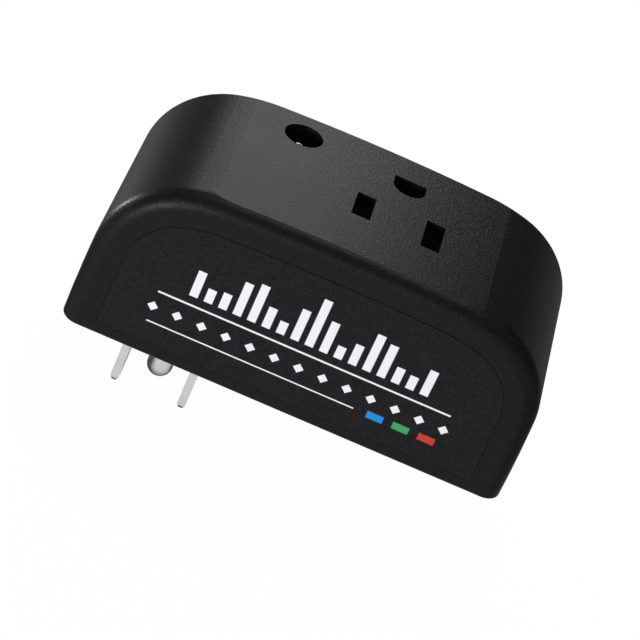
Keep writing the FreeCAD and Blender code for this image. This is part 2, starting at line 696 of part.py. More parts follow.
def retainer_screws():
    top = RETAINER_Z + RETAINER_T
    made = [flat_screw(x, y, top, 1, RETAINER_SCREW_LENGTH) for x, y in RETAINER_SCREWS]
    return Part.makeCompound(made)


def core_pockets():
    """Cored-out corners beside the carrier's ground cavity, open at the bottom."""
    y0 = OUTLET_Y + CARRIER_BACK - WALL / 2 - CORE_LENGTH
    near = CARRIER_SIDE - WALL / 2
    pockets = []
    for x0 in (OUTLET_X - near, OUTLET_X + near - CORE_WIDTH):
        pockets.append(rounded_block(
            x0, x0 + CORE_WIDTH, y0, y0 + CORE_LENGTH,
            CARRIER_BOTTOM - MARGIN, CARRIER_BOTTOM + CORE_DEPTH, CORE_CORNER))
    return pockets


def contact_carrier():
    """Insulating block against the crown: a cavity for each contact, and the outlet's openings above them."""
    block = carrier_plan(0, CARRIER_BOTTOM, CEILING).common(cavity_form())
    half_w, half_l = CAVITY_WIDTH / 2, CAVITY_LENGTH / 2
    low, high = CARRIER_BOTTOM - MARGIN, CEILING - CARRIER_WEB
    tools = [
        box(x - half_w, x + half_w, OUTLET_Y - half_l, OUTLET_Y + half_l, low, high)
        for x in (LINE_X, NEUTRAL_X)
    ]
    tools.append(post(OUTLET_X, GROUND_Y, low, HEIGHT - GROUND_LEDGE, GROUND_CAVITY_R))
    tools += outlet_cutters(SLOT_GAP, CARRIER_BOTTOM, CEILING + MARGIN)
    tools += core_pockets()
    pilot_top = COVER_BOTTOM + COVER_SCREW_LENGTH + PILOT_SPARE
    tools += [post(x, y, low, pilot_top, SCREW_R + THREAD_GAP) for x, y in COVER_SCREWS]
    return cut(block, *tools)


def contact_cover():
    """Plate that keeps the contacts in the carrier, with slots for their tails."""
    plate = carrier_plan(0, COVER_BOTTOM, CARRIER_BOTTOM)
    half = CONTACT_TAIL_WIDTH / 2 + SLOT_GAP
    low, high = COVER_BOTTOM - MARGIN, CARRIER_BOTTOM + MARGIN
    tools = []
    for x in (LINE_X, NEUTRAL_X):
        x0 = x - CONTACT_FACE - SLOT_GAP
        x1 = x - CONTACT_FACE + CONTACT_SHEET + SLOT_GAP
        tools.append(box(x0, x1, OUTLET_Y - half, OUTLET_Y + half, low, high))
    tools.append(post(OUTLET_X, GROUND_Y, low, high, GROUND_HOLE_R))
    x0 = OUTLET_X - SLEEVE_R - SLEEVE_WALL - SLOT_GAP
    half = SLEEVE_TAIL_WIDTH / 2 + SLOT_GAP
    tools.append(box(x0, OUTLET_X, GROUND_Y - half, GROUND_Y + half, low, high))
    tools += [countersink(x, y, COVER_BOTTOM, -1, COVER_T + MARGIN) for x, y in COVER_SCREWS]
    return cut(plate, *tools)


def cover_screws():
    made = [flat_screw(x, y, COVER_BOTTOM, -1, COVER_SCREW_LENGTH) for x, y in COVER_SCREWS]
    return Part.makeCompound(made)


def blade_contact(x):
    """Folded spring clip that grips a blade between two leaves, with a tail down through the cover."""
    half = CONTACT_FOOT / 2
    pinch = (CONTACT_PINCH + CONTACT_SHEET) / 2
    floor = CARRIER_BOTTOM + CONTACT_SHEET / 2
    top = CEILING - CARRIER_WEB - CONTACT_HEAD_GAP
    neck = top - CONTACT_PINCH_DROP
    knee = floor + CONTACT_KNEE
    right = [(half, floor), (half, knee), (pinch, neck), (half - CONTACT_SHEET / 2, top)]
    outline = [(-u, z) for u, z in reversed(right)] + right
    route = [(x + u, OUTLET_Y, z) for u, z in outline]
    clip = flat_bar(route, CONTACT_BEND, CONTACT_SHEET, CONTACT_WIDTH, (0, 1, 0))
    x0 = x - CONTACT_FACE
    side = CONTACT_TAIL_WIDTH / 2
    tail = box(x0, x0 + CONTACT_SHEET, OUTLET_Y - side, OUTLET_Y + side, STRAP_BOTTOM, knee - MARGIN)
    return join(clip, tail).cut(cross_hole(x0, OUTLET_Y, STRAP_Z, RIVET_R + RIVET_GAP))


def ground_contact():
    """Slit spring sleeve with a flared mouth, and a tail for the ground lead."""
    top = HEIGHT - GROUND_LEDGE - SLEEVE_HEAD_GAP
    outer = SLEEVE_R + SLEEVE_WALL
    wall = [
        (SLEEVE_R, CARRIER_BOTTOM), (outer, CARRIER_BOTTOM), (outer, top - SLEEVE_FLARE),
        (outer + SLEEVE_FLARE, top), (SLEEVE_R + SLEEVE_FLARE, top), (SLEEVE_R, top - SLEEVE_FLARE),
    ]
    sleeve = turned(wall, OUTLET_X, GROUND_Y)
    half = SLEEVE_SLIT / 2
    low = CARRIER_BOTTOM - MARGIN
    slit = box(OUTLET_X - half, OUTLET_X + half, GROUND_Y, GROUND_Y + 2 * outer, low, HEIGHT)
    half = SLEEVE_TAIL_WIDTH / 2
    x0, x1 = OUTLET_X - SLEEVE_FACE, OUTLET_X - SLEEVE_R - SLEEVE_TAIL_INSET
    tail = box(x0, x1, GROUND_Y - half, GROUND_Y + half, STRAP_BOTTOM, CARRIER_BOTTOM + outer)
    return join(sleeve.cut(slit), tail)


def strap(blade_x, blade_side, run_y, contact_x):
    """Strip on edge from a blade's tab to a contact's tail, folded twice on its way along the housing."""
    x0 = blade_x + BLADE_T / 2 + STRAP_T / 2
    x1 = contact_x - CONTACT_FACE - STRAP_T / 2
    end = OUTLET_Y + (CONTACT_TAIL_WIDTH / 2 if run_y < OUTLET_Y else -CONTACT_TAIL_WIDTH / 2)
    start = PLUG_Y + blade_side * STRAP_START
    points = [(x0, start, STRAP_Z), (x0, run_y, STRAP_Z), (x1, run_y, STRAP_Z), (x1, end, STRAP_Z)]
    strip = flat_bar(points, STRAP_BEND, STRAP_T, STRAP_WIDTH, (0, 0, 1))
    holes = [cross_hole(x, y, STRAP_Z, RIVET_R + RIVET_GAP) for x, y in ((x0, PLUG_Y), (x1, OUTLET_Y))]
    return cut(strip, *holes)


def rivet(x0, x1, y):
    """Headed rivet along X through the plates between x0 and x1."""
    low, high = x0 - RIVET_HEAD_T, x1 + RIVET_HEAD_T
    shank = [(0, low), (RIVET_TOP_R, low), (RIVET_HEAD_R, x0), (RIVET_R, x0)]
    shank += [(RIVET_R, x1), (RIVET_HEAD_R, x1), (RIVET_TOP_R, high), (0, high)]
    solid = turned(shank, 0, 0)
    solid.rotate(vec(0, 0, 0), vec(0, 1, 0), 90)
    solid.translate(vec(0, y, STRAP_Z))
    return solid


def strap_rivets():
    made = []
    for x in (LINE_BLADE_X, NEUTRAL_BLADE_X):
        made.append(rivet(x - BLADE_T / 2, x + BLADE_T / 2 + STRAP_T, PLUG_Y))
    for x in (LINE_X, NEUTRAL_X):
        made.append(rivet(x - CONTACT_FACE - STRAP_T, x - CONTACT_FACE + CONTACT_SHEET, OUTLET_Y))
    return Part.makeCompound(made)


def ground_lead():
    """Insulated lead from the underside of the board to the ground contact's tail."""
    x, y = PLUG_X + LEAD_FROM_PLUG, GROUND_Y - LEAD_FROM_TAIL
    z = BOARD_Z - LEAD_DROP
    end = OUTLET_X - SLEEVE_FACE
    return round_bar([(x, y, BOARD_Z), (x, y, z), (end, y, z)], LEAD_BEND, LEAD_R)


def pair_places(at, pitch, along):
    """Two lead positions on the board, pitch apart along X or Y about the place at."""
    x, y = at
    if along == "x":
        return [(x - pitch / 2, y), (x + pitch / 2, y)]
    return [(x, y - pitch / 2), (x, y + pitch / 2)]


def bridge_places():
    x, y = BRIDGE_AT
    first = y - BRIDGE_PITCH * (BRIDGE_LEADS - 1) / 2
    return [(x, first + i * BRIDGE_PITCH) for i in range(BRIDGE_LEADS)]


def lead_places():
    """Every lead of the board: its place and radius."""
    small = pair_places(CAPACITOR_AT, CAPACITOR_PITCH, "y") + pair_places(VARISTOR_AT, VARISTOR_PITCH, "x")
    small += pair_places(BLEED_AT, BLEED_PITCH, "x") + pair_places(RESISTOR_AT, RESISTOR_PITCH, "y")
    small += pair_places(DIODE_AT, DIODE_PITCH, "y")
    places = [(place, BRIDGE_LEAD_R) for place in bridge_places()]
    places += [(place, SMALL_LEAD_R) for place in small]
    return places + [(place, LED_LEAD_R) for place in LED_LEADS]


def circuit_board():
    """Board on the base plate's posts, drilled for the prongs' tails, its screws and every component lead."""
    left, right = PLUG_X - BOARD_LEFT, PLUG_X + BOARD_RIGHT
    board = rounded_block(left, right, -BOARD_SIDE, BOARD_SIDE, BOARD_Z, BOARD_TOP, BOARD_CORNER)
    low, high = BOARD_Z - MARGIN, BOARD_TOP + MARGIN
    tools = prong_cutters(TAIL_WIDTH, PIN_TAIL_R, TAIL_GAP, low, high)
    tools += [post(x, y, low, high, SCREW_R + PASS_GAP) for x, y in BOARD_HOLES]
    tools += [post(x, y, low, high, radius + LEAD_GAP) for (x, y), radius in lead_places()]
    return cut(board, *tools)


def board_screws():
    return Part.makeCompound([pan_screw(x, y, BOARD_TOP, BOARD_SCREW_LENGTH) for x, y in BOARD_HOLES])


def straight_leads(places, radius, top):
    return [post(x, y, BOARD_Z - LEAD_BELOW, top, radius) for x, y in places]


def bridge_rectifier():
    """Four-lead bridge standing on edge, with one bevelled upper corner."""
    x, y = BRIDGE_AT
    z = BOARD_TOP + STAND_OFF
    top = z + BRIDGE_HEIGHT
    low, high = y - BRIDGE_LENGTH / 2, y + BRIDGE_LENGTH / 2
    outline = [(low, z), (high, z), (high, top), (low + BRIDGE_BEVEL, top), (low, top - BRIDGE_BEVEL)]
    corners = [vec(x - BRIDGE_T / 2, v, w) for v, w in outline]
    body = Part.Face(Part.makePolygon(corners + corners[:1])).extrude(vec(BRIDGE_T, 0, 0))
    return join(body, *straight_leads(bridge_places(), BRIDGE_LEAD_R, z + MARGIN))


def film_capacitor():
    """Box-type film capacitor on two leads."""
    x, y = CAPACITOR_AT
    z = BOARD_TOP + BODY_LIFT
    half_t, half_l = CAPACITOR_T / 2, CAPACITOR_LENGTH / 2
    top = z + CAPACITOR_HEIGHT
    body = rounded_block(x - half_t, x + half_t, y - half_l, y + half_l, z, top, CAPACITOR_EDGE)
    leads = straight_leads(pair_places(CAPACITOR_AT, CAPACITOR_PITCH, "y"), SMALL_LEAD_R, z + MARGIN)
    return join(body, *leads)


def surge_varistor():
    """Coated disc standing on two leads."""
    x, y = VARISTOR_AT
    half = VARISTOR_T / 2
    waist = half - VARISTOR_EDGE
    face = VARISTOR_R - VARISTOR_EDGE
    profile = [(0, -half), (face, -half), (VARISTOR_R, -waist), (VARISTOR_R, waist), (face, half), (0, half)]
    disc = turned(profile, 0, 0)
    disc.rotate(vec(0, 0, 0), vec(1, 0, 0), 90)
    middle = BOARD_TOP + STAND_OFF + VARISTOR_R
    disc.translate(vec(x, y, middle))
    places = pair_places(VARISTOR_AT, VARISTOR_PITCH, "x")
    return join(disc, *straight_leads(places, SMALL_LEAD_R, middle - VARISTOR_R / 2))


def axial_part(at, radius, length, pitch, along):
    """Cylindrical component with thicker ends, lying above the board on two bent leads."""
    waist = radius * WAIST_SHARE
    half = length / 2
    cap = half - length * END_CAP_SHARE
    slope = cap - length * END_CAP_SLOPE_SHARE
    profile = [(0, -half), (radius, -half), (radius, -cap), (waist, -slope)]
    profile += [(waist, slope), (radius, cap), (radius, half), (0, half)]
    solid = turned(profile, 0, 0)
    solid.rotate(vec(0, 0, 0), vec(0, 1, 0) if along == "x" else vec(-1, 0, 0), 90)
    z = BOARD_TOP + radius + BODY_LIFT
    x, y = at
    solid.translate(vec(x, y, z))
    foot = BOARD_Z - LEAD_BELOW
    leads = [
        round_bar([(px, py, foot), (px, py, z), (x, y, z)], 2 * SMALL_LEAD_R, SMALL_LEAD_R)
        for px, py in pair_places(at, pitch, along)
    ]
    return join(solid, *leads)


def indicator_led():
    """Round LED with a flange, its dome set back in the housing's sleeve."""
    top = HEIGHT - LED_RECESS
    foot = top - LED_LENGTH
    shoulder = top - LED_R
    bend = math.sqrt(0.5)
    dome = Part.Arc(vec(LED_R, 0, shoulder), vec(LED_R * bend, 0, shoulder + LED_R * bend), vec(0, 0, top))
    flange = foot + LED_FLANGE_T
    outline = [(0, top), (0, foot), (LED_FLANGE_R, foot), (LED_FLANGE_R, flange)]
    outline += [(LED_R, flange), (LED_R, shoulder)]
    points = [vec(r, 0, z) for r, z in outline]
    lines = [Part.makeLine(a, b) for a, b in zip(points, points[1:])]
    lens = Part.Face(Part.Wire(lines + [dome.toShape()])).revolve(vec(0, 0, 0), vec(0, 0, 1), 360)
    lens.translate(vec(LED_X, LED_Y, 0))
    return join(lens, *straight_leads(LED_LEADS, LED_LEAD_R, foot + MARGIN / 2))


def led_spacer():
    """Moulded spacer that lifts the LED from the board to the crown, with a bore for each lead."""
    foot = HEIGHT - LED_RECESS - LED_LENGTH
    body = post(LED_X, LED_Y, BOARD_TOP, foot, LED_FLANGE_R)
    return cut(body, *[post(x, y, BOARD_Z, HEIGHT, LED_LEAD_R + LEAD_GAP) for x, y in LED_LEADS])


def main():
    os.makedirs("parts", exist_ok=True)
    nodes = {
        "housing_shell": housing_shell(),
        "base_plate": base_plate(),
        "base_screws": base_screws(),
        "front_label": front_label(),
        "line_blade": blade(LINE_BLADE_X),
        "neutral_blade": blade(NEUTRAL_BLADE_X),
        "ground_pin": ground_pin(),
        "prong_retainer": prong_retainer(),
        "retainer_screws": retainer_screws(),
        "contact_carrier": contact_carrier(),
        "contact_cover": contact_cover(),
        "cover_screws": cover_screws(),
        "line_contact": blade_contact(LINE_X),
        "neutral_contact": blade_contact(NEUTRAL_X),
        "ground_contact": ground_contact(),
        "line_strap": strap(LINE_BLADE_X, 1, LINE_RUN_Y, LINE_X),
        "neutral_strap": strap(NEUTRAL_BLADE_X, -1, NEUTRAL_RUN_Y, NEUTRAL_X),
        "strap_rivets": strap_rivets(),
        "ground_lead": ground_lead(),
        "circuit_board": circuit_board(),
        "board_screws": board_screws(),
        "bridge_rectifier": bridge_rectifier(),
        "film_capacitor": film_capacitor(),
        "surge_varistor": surge_varistor(),
        "bleed_resistor": axial_part(BLEED_AT, BLEED_R, BLEED_LENGTH, BLEED_PITCH, "x"),
        "led_resistor": axial_part(RESISTOR_AT, RESISTOR_R, RESISTOR_LENGTH, RESISTOR_PITCH, "y"),
        "led_diode": axial_part(DIODE_AT, DIODE_R, DIODE_LENGTH, DIODE_PITCH, "y"),
        "indicator_led": indicator_led(),
        "led_spacer": led_spacer(),
    }
    for name, shape in nodes.items():
        shape.exportStep(f"parts/{name}.step")


main()
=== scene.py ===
"""Looks, light and camera for a plug-in ground loop isolator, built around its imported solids."""
import math

import bpy
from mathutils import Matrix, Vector


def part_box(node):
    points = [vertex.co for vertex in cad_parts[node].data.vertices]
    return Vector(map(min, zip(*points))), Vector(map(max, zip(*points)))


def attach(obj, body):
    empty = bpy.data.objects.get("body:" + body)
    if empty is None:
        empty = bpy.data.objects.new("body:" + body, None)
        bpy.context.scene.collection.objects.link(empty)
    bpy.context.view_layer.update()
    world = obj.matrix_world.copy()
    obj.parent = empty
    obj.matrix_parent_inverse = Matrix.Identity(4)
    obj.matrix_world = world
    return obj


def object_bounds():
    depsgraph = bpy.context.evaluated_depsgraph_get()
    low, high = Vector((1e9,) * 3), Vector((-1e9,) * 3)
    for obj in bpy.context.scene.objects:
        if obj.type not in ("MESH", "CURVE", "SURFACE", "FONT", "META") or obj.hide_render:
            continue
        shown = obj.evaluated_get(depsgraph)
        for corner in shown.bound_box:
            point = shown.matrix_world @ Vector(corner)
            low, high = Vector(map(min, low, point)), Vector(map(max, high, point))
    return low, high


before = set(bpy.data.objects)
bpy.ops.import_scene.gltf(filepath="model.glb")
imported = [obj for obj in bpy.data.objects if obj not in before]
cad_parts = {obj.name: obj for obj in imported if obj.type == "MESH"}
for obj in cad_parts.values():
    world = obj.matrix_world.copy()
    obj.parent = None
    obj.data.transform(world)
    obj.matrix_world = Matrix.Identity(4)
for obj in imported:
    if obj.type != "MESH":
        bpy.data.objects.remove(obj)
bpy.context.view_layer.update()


# Housing: one cap moulded in black ABS. The mould is spark eroded, which leaves an even leathery
# grain on every outer face, and the crown's edges are left crisp.
class Signal:
    """A socket in a material's tree. Arithmetic adds Math nodes, and node() adds any other node."""

    def __init__(self, tree, socket):
        self.tree = tree
        self.socket = socket

    def node(self, kind, settings, sockets, output=0):
        made = self.tree.nodes.new(kind)
        for name, value in settings.items():
            setattr(made, name, value)
        for name, value in sockets.items():
            if isinstance(value, Signal):
                self.tree.links.new(value.socket, made.inputs[name])
            else:
                made.inputs[name].default_value = value
        return Signal(self.tree, made.outputs[output])

    def maths(self, operation, *values):
        return self.node("ShaderNodeMath", {"operation": operation}, dict(enumerate(values)))

    def __add__(self, other):
        return self.maths("ADD", self, other)

    def __sub__(self, other):
        return self.maths("SUBTRACT", self, other)

    def __rsub__(self, other):
        return self.maths("SUBTRACT", other, self)

    def __mul__(self, other):
        return self.maths("MULTIPLY", self, other)

    def __truediv__(self, other):
        return self.maths("DIVIDE", self, other)

    def __abs__(self):
        return self.maths("ABSOLUTE", self)

    __radd__ = __add__
    __rmul__ = __mul__


def new_finish(name, settings):
    """A material whose shader has these settings, and the place on the piece in metres."""
    material = bpy.data.materials.new(name)
    material.use_nodes = True
    tree = material.node_tree
    for socket, value in settings.items():
        tree.nodes["Principled BSDF"].inputs[socket].default_value = value
    return material, Signal(tree, tree.nodes.new("ShaderNodeTexCoord").outputs["Object"])


def connect(material, sockets):
    """Feeds the material's shader from signals, by socket name."""
    shader = material.node_tree.nodes["Principled BSDF"]
    for socket, signal in sockets.items():
        material.node_tree.links.new(signal.socket, shader.inputs[socket])


def dress(material, *names):
    """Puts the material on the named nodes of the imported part."""
    for name in names:
        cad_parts[name].material_slots[0].material = material


def noise(place, size, detail=2.0, stretch=(1, 1, 1)):
    """Soft noise from 0 to 1 whose lumps are about size metres wide, times stretch."""
    scale = tuple(1 / (size * s) for s in stretch)
    spot = place.node("ShaderNodeMapping", {}, {"Vector": place, "Scale": scale})
    return place.node("ShaderNodeTexNoise", {}, {"Vector": spot, "Scale": 1.0, "Detail": detail})


def between(signal, low, high):
    """The signal's way from low to high, held within 0 and 1."""
    return signal.node(
        "ShaderNodeMapRange", {"interpolation_type": "SMOOTHSTEP"},
        {"Value": signal, "From Min": low, "From Max": high})


def mix(mask, first, second):
    """Colour that turns from first to second as the mask goes from 0 to 1."""
    first_colour, second_colour, colour_out = 6, 7, 2
    return mask.node(
        "ShaderNodeMix", {"data_type": "RGBA"},
        {0: mask, first_colour: first, second_colour: second}, colour_out)


def relief(height, depth):
    """Surface normal bent by a height signal from 0 to 1 that stands for depth metres."""
    return height.node("ShaderNodeBump", {}, {"Height": height, "Distance": depth}, "Normal")


def eroded_cap():
    """Black plastic whose grain glints where it turns to the light, with fine specks of dust."""
    coarse_size, fine_size, speck_size, cloud_size = 0.00046, 0.00022, 0.00030, 0.012
    grain_depth = 0.00006
    hollow, ridge = (0.0046, 0.0046, 0.0060, 1), (0.0092, 0.0092, 0.0110, 1)
    dust = (0.024, 0.024, 0.026, 1)
    material, place = new_finish("housing_abs", {"Specular IOR Level": 0.12})
    coarse = noise(place, coarse_size, detail=1.0)
    fine = noise(place, fine_size, detail=1.0)
    cloud = noise(place, cloud_size)
    speck = between(noise(place, speck_size, detail=1.0), 0.68, 0.78)
    skin = mix(between(coarse * 0.5 + fine * 0.5, 0.35, 0.70), hollow, ridge)
    connect(material, {
        "Base Color": mix(speck * 0.4, skin, dust),
        "Roughness": 0.36 + coarse * 0.06 + cloud * 0.04,
        "Normal": relief(coarse * 0.75 + fine * 0.25, grain_depth),
    })
    return material


dress(eroded_cap(), "housing_shell")


# Label: a black polyester film in the front face's shallow seat, printed in white with a plain
# ornament of bars, rules and diamonds and three small coloured tabs, under a satin lacquer.
def coordinate(place, letter):
    """One of the place's coordinates: X, Y or Z."""
    return place.node("ShaderNodeSeparateXYZ", {}, {"Vector": place}, letter)


def in_mm(place, letter):
    """One of the place's coordinates in millimetres."""
    return coordinate(place, letter) * 1000


def past(signal, edge, soft=0.05):
    """1 where the signal is past the edge, with a soft step, all in millimetres."""
    return between(signal, edge - soft, edge + soft)


def stripe(signal, low, high, soft=0.05):
    """1 where the signal lies from low to high, with soft edges, all in millimetres."""
    return past(signal, low, soft) * (1 - past(signal, high, soft))


def in_step(signal, pitch):
    """The nearest whole step of a pattern and the distance from its middle, in millimetres."""
    step = signal.maths("ROUND", signal / pitch)
    return step, signal - step * pitch


def printed_film():
    """Black film with a white ornament and three coloured tabs. Its sizes are in millimetres."""
    material, place = new_finish("label_film", {"Specular IOR Level": 0.13})
    x, z = in_mm(place, "X"), in_mm(place, "Z")
    bar_pitch, bar_width, bar_foot, last_bar = 2.6, 1.5, 14.6, 8.5
    shortest_bar, bar_swing, swing_lost, bars_in_wave = 2.4, 7.4, 0.42, 4.4
    step, across = in_step(x, bar_pitch)
    wave = step.maths("COSINE", step * (math.pi / bars_in_wave))
    bar_height = shortest_bar + (wave * wave) * (bar_swing - swing_lost * abs(step))
    bars = stripe(across, -bar_width / 2, bar_width / 2)
    bars = bars * stripe(step, -last_bar, last_bar, soft=0.1)
    bars = bars * past(z, bar_foot) * (1 - past(z - bar_height, bar_foot))
    left_end, right_end, short_end = -26.5, 26.5, 11.2
    upper_edges, lower_edges = (12.7, 13.05), (6.55, 6.8)
    upper_rule = stripe(x, left_end, right_end) * stripe(z, *upper_edges)
    lower_rule = stripe(x, left_end, short_end) * stripe(z, *lower_edges)
    diamond_pitch, diamond_half, diamond_height, last_diamond = 4.4, 0.95, 9.75, 6.5
    spot, aside = in_step(x, diamond_pitch)
    diamonds = 1 - past(abs(aside) + abs(z - diamond_height), diamond_half, soft=0.06)
    diamonds = diamonds * stripe(spot, -last_diamond, last_diamond, soft=0.1)
    tab_starts, tab_width, tab_edges = (13.6, 18.3, 23.0), 3.0, (6.0, 7.4)
    tab_row = stripe(z, *tab_edges)
    blue_tab, green_tab, red_tab = (
        stripe(x, start, start + tab_width) * tab_row for start in tab_starts)
    white = bars + upper_rule + lower_rule + diamonds
    fleck_size, fleck_depth = 0.00035, 0.00003
    fleck = noise(place, fleck_size)
    film = mix(between(fleck, 0.3, 0.7), (0.0032, 0.0032, 0.0044, 1), (0.0110, 0.0110, 0.0126, 1))
    ink = mix(white, film, (0.82, 0.82, 0.84, 1))
    ink = mix(blue_tab, ink, (0.02, 0.24, 0.62, 1))
    ink = mix(green_tab, ink, (0.05, 0.33, 0.11, 1))
    ink = mix(red_tab, ink, (0.52, 0.045, 0.03, 1))
    inked = white + blue_tab + green_tab + red_tab
    connect(material, {
        "Base Color": ink,
        "Roughness": 0.36 + fleck * 0.10 + inked * 0.08,
        "Normal": relief(fleck * 0.7 + inked * 0.3, fleck_depth),
    })
    return material


dress(printed_film(), "front_label")


# Base plate: the flat black ABS lid that closes the housing's mouth. It is moulded in a plain
# matt tool, and four countersunk screws hold it to the housing's posts.
def moulded(name, dark, pale, sheen, grain_size, grain_depth):
    """Moulded plastic: an even eroded grain, faint cloudiness, and a sheen that varies with it."""
    pit_share, cloud_size = 0.45, 0.012
    material, place = new_finish(name, {"Specular IOR Level": sheen})
    grain = noise(place, grain_size, detail=3.0)
    pits = noise(place, grain_size * pit_share, detail=1.0)
    cloud = noise(place, cloud_size)
    tone = between(grain * 0.7 + pits * 0.3, 0.35, 0.7)
    connect(material, {
        "Base Color": mix(tone, dark, pale),
        "Roughness": 0.40 + grain * 0.12 + cloud * 0.08,
        "Normal": relief(grain * 0.75 + pits * 0.25, grain_depth),
    })
    return material


base_abs = moulded(
    "base_abs", (0.0085, 0.0085, 0.0100, 1), (0.0140, 0.0140, 0.0160, 1),
    sheen=0.36, grain_size=0.00060, grain_depth=0.00004)
dress(base_abs, "base_plate")


# Screws: zinc-plated steel with a faint blue passivation, four from below in the base, three in
# the retainer, two in the contact cover and two on the circuit board, all with cross recesses.
def metal(name, tint, shade, roughness, lines, line_size, line_depth):
    """Bare or plated metal: fine lines from its making, with stains and a hint of tarnish."""
    stain_size = 0.004
    material, place = new_finish(name, {"Metallic": 1.0})
    drawn = noise(place, line_size, detail=3.0, stretch=lines)
    stain = between(noise(place, stain_size, detail=3.0), 0.35, 0.75)
    connect(material, {
        "Base Color": mix(stain, tint, shade),
        "Roughness": roughness + drawn * 0.14 + stain * 0.06,
        "Normal": relief(drawn, line_depth),
    })
    return material


even = (1, 1, 1)
zinc = metal(
    "zinc_plate", (0.60, 0.62, 0.64, 1), (0.50, 0.50, 0.47, 1),
    roughness=0.26, lines=even, line_size=0.00030, line_depth=0.000006)
dress(zinc, "base_screws", "retainer_screws", "cover_screws", "board_screws")


# Prongs: two blades stamped from brass strip and a turned ground pin, all nickel plated. An
# outlet's contacts have scratched the blades along their length. The two corners of each
# blade's tip get painted shade, dark and dull, for the shade under the housing that they mirror.
def painted_tip_shade(place):
    """1 on the two corners of a blade's tip that get painted shade. The sizes are in millimetres.
    """
    blade_middle, blade_half, shade_reach = -5.5, 3.175, 1.0
    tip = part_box("line_blade")[0].z * 1000
    corner = blade_half - abs(in_mm(place, "Y") - blade_middle) + (in_mm(place, "Z") - tip)
    return 1 - between(corner, shade_reach + 0.02, shade_reach + 0.12)


def rubbed_nickel(name, lines, line_depth, tip_shaded):
    """Satin nickel with lines from its making and long scratches, and painted shade at the tip."""
    line_size, scratch_size, scratch_stretch, stain_size = 0.00022, 0.00016, 42, 0.003
    material, place = new_finish(name, {"Metallic": 1.0})
    drawn = noise(place, line_size, stretch=lines)
    long_noise = noise(place, scratch_size, detail=3.0, stretch=(1, 1, scratch_stretch))
    scratch = between(long_noise, 0.60, 0.72)
    stain = between(noise(place, stain_size, detail=3.0), 0.40, 0.80)
    colour = mix(stain, (0.74, 0.715, 0.72, 1), (0.67, 0.64, 0.64, 1))
    roughness = 0.23 + drawn * 0.12 + scratch * 0.14
    # Painted shade: the tip's corners are made dark, rough and not metallic.
    if tip_shaded:
        bare_glass_and_tip_shade = painted_tip_shade(place)
        colour = mix(bare_glass_and_tip_shade, colour, (0.035, 0.032, 0.030, 1))
        roughness = roughness + bare_glass_and_tip_shade * 0.5
        connect(material, {"Metallic": 1 - bare_glass_and_tip_shade})
    connect(material, {
        "Base Color": colour,
        "Roughness": roughness,
        "Normal": relief(drawn * 0.6 + scratch * 0.4, line_depth),
    })
    return material


along_z = (1, 1, 22)
blade_nickel = rubbed_nickel("blade_nickel", along_z, line_depth=0.000004, tip_shaded=True)
dress(blade_nickel, "line_blade", "neutral_blade")
round_z = (22, 22, 1)
pin_nickel = rubbed_nickel("pin_nickel", round_z, line_depth=0.000003, tip_shaded=False)
dress(pin_nickel, "ground_pin")


# Prong retainer: a stiff plate of black glass-filled nylon. Three screws pull it down on the
# blades' shoulders and the pin's collar, so that the prongs can't push in or pull out.
retainer_nylon = moulded(
    "retainer_nylon", (0.018, 0.018, 0.020, 1), (0.034, 0.034, 0.036, 1),
    sheen=0.45, grain_size=0.00050, grain_depth=0.00005)
dress(retainer_nylon, "prong_retainer")


# Contact carrier and cover: an insulating block behind the outlet's openings and the lid that
# shuts it, moulded in dull black polyester in which short glass fibres show as pale streaks.
def fibre_filled():
    """Dull black resin with the marks of its flow into the mould and streaks of glass fibre."""
    flow_size, fibre_size, depth = 0.0016, 0.00014, 0.00003
    resin, glass = (0.012, 0.012, 0.013, 1), (0.060, 0.058, 0.054, 1)
    material, place = new_finish("carrier_polyester", {"Specular IOR Level": 0.4})
    flow = noise(place, flow_size, detail=3.0, stretch=(3, 1, 1))
    fibre = between(noise(place, fibre_size, stretch=(9, 1, 2)), 0.62, 0.74)
    connect(material, {
        "Base Color": mix(fibre * 0.5 + flow * 0.3, resin, glass),
        "Roughness": 0.46 + flow * 0.16,
        "Normal": relief(fibre * 0.3 + flow * 0.7, depth),
    })
    return material


dress(fibre_filled(), "contact_carrier", "contact_cover")


# Contacts: folded phosphor bronze sheet in the carrier's cavities. Two leaves pinch each blade,
# and a slit sleeve grips the ground pin.
along_contact = (1, 1, 14)
bronze = metal(
    "spring_bronze", (0.70, 0.43, 0.24, 1), (0.52, 0.29, 0.16, 1),
    roughness=0.28, lines=along_contact, line_size=0.00025, line_depth=0.000007)
dress(bronze, "line_contact", "neutral_contact", "ground_contact")


# Straps and rivets: brass strip set on edge, from each blade's tab to its contact's tail. Each
# end has one rivet with a domed head on both sides.
along_strap = (14, 14, 1)
brass = metal(
    "rolled_brass", (0.76, 0.58, 0.27, 1), (0.55, 0.38, 0.16, 1),
    roughness=0.27, lines=along_strap, line_size=0.00022, line_depth=0.000006)
dress(brass, "line_strap", "neutral_strap")
headed_brass = metal(
    "rivet_brass", (0.74, 0.56, 0.27, 1), (0.50, 0.35, 0.15, 1),
    roughness=0.30, lines=even, line_size=0.00035, line_depth=0.000008)
dress(headed_brass, "strap_rivets")


# Ground lead: a stranded wire in green insulation with a yellow stripe, from the circuit board
# to the ground contact's tail.
def striped_insulation():
    """Green plastic with a yellow stripe along the wire's back."""
    stripe_depth, scuff_size, scuff_depth = 0.77, 0.0008, 0.00004
    material, place = new_finish("lead_insulation", {"Specular IOR Level": 0.5})
    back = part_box("ground_lead")[1].y * 1000
    yellow = past(in_mm(place, "Y"), back - stripe_depth, soft=0.08)
    scuff = noise(place, scuff_size, detail=3.0)
    green = mix(scuff, (0.020, 0.150, 0.040, 1), (0.035, 0.210, 0.060, 1))
    connect(material, {
        "Base Color": mix(yellow, green, (0.62, 0.50, 0.04, 1)),
        "Roughness": 0.38 + scuff * 0.18,
        "Normal": relief(scuff, scuff_depth),
    })
    return material


dress(striped_insulation(), "ground_lead")


